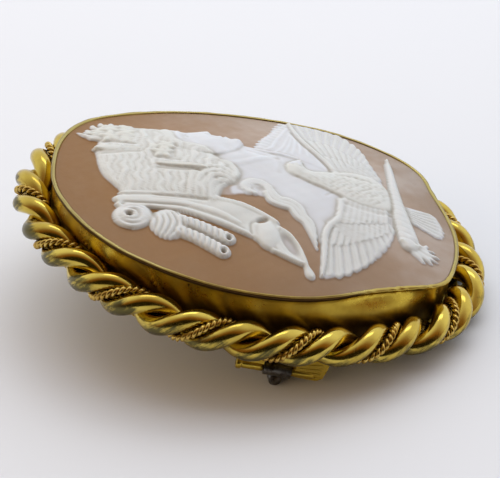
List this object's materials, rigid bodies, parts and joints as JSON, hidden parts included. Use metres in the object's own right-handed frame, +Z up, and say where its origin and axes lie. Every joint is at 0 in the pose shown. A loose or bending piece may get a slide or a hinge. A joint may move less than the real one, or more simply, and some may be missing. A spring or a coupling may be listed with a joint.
{
  "type": "cameo brooch",
  "caption": "Oval shell cameo brooch: raised bust, bird and torch on a domed ground, gilt bezel with a twisted rope border, hinged pin and hook on the back.",
  "frame": {"origin": "on the surface it rests on, under the centre of its bounding box", "axes": "+Z up; the brooch lies face up, tipped 12 degrees about X with its head end raised; +Y towards the head of the portrait, +X to the right of the portrait"},
  "size_m": [0.0462, 0.0552, 0.0173],
  "materials": {
    "carved_shell": "satin",
    "gilt_brass": "polished",
    "gilt_wire": "polished, worn",
    "gilt_fine_wire": "polished",
    "pin_steel": "dull"
  },
  "bodies": {
    "brooch": {"setting": "gilt_brass", "cameo": "carved_shell", "rope_strand_1": "gilt_wire", "rope_strand_2": "gilt_wire", "fine_twist": "gilt_fine_wire", "hinge_rivet": "pin_steel"},
    "pin": {"pin_stem": "pin_steel"}
  },
  "joints": [
    {"name": "pin_hinge", "type": "hinge", "parent": "brooch", "child": "pin", "pos_m": [-0.01897, -0.0029, 0.00206], "axis": [0, 0.9784, 0.2068], "range_deg": [0, 110]}
  ]
}
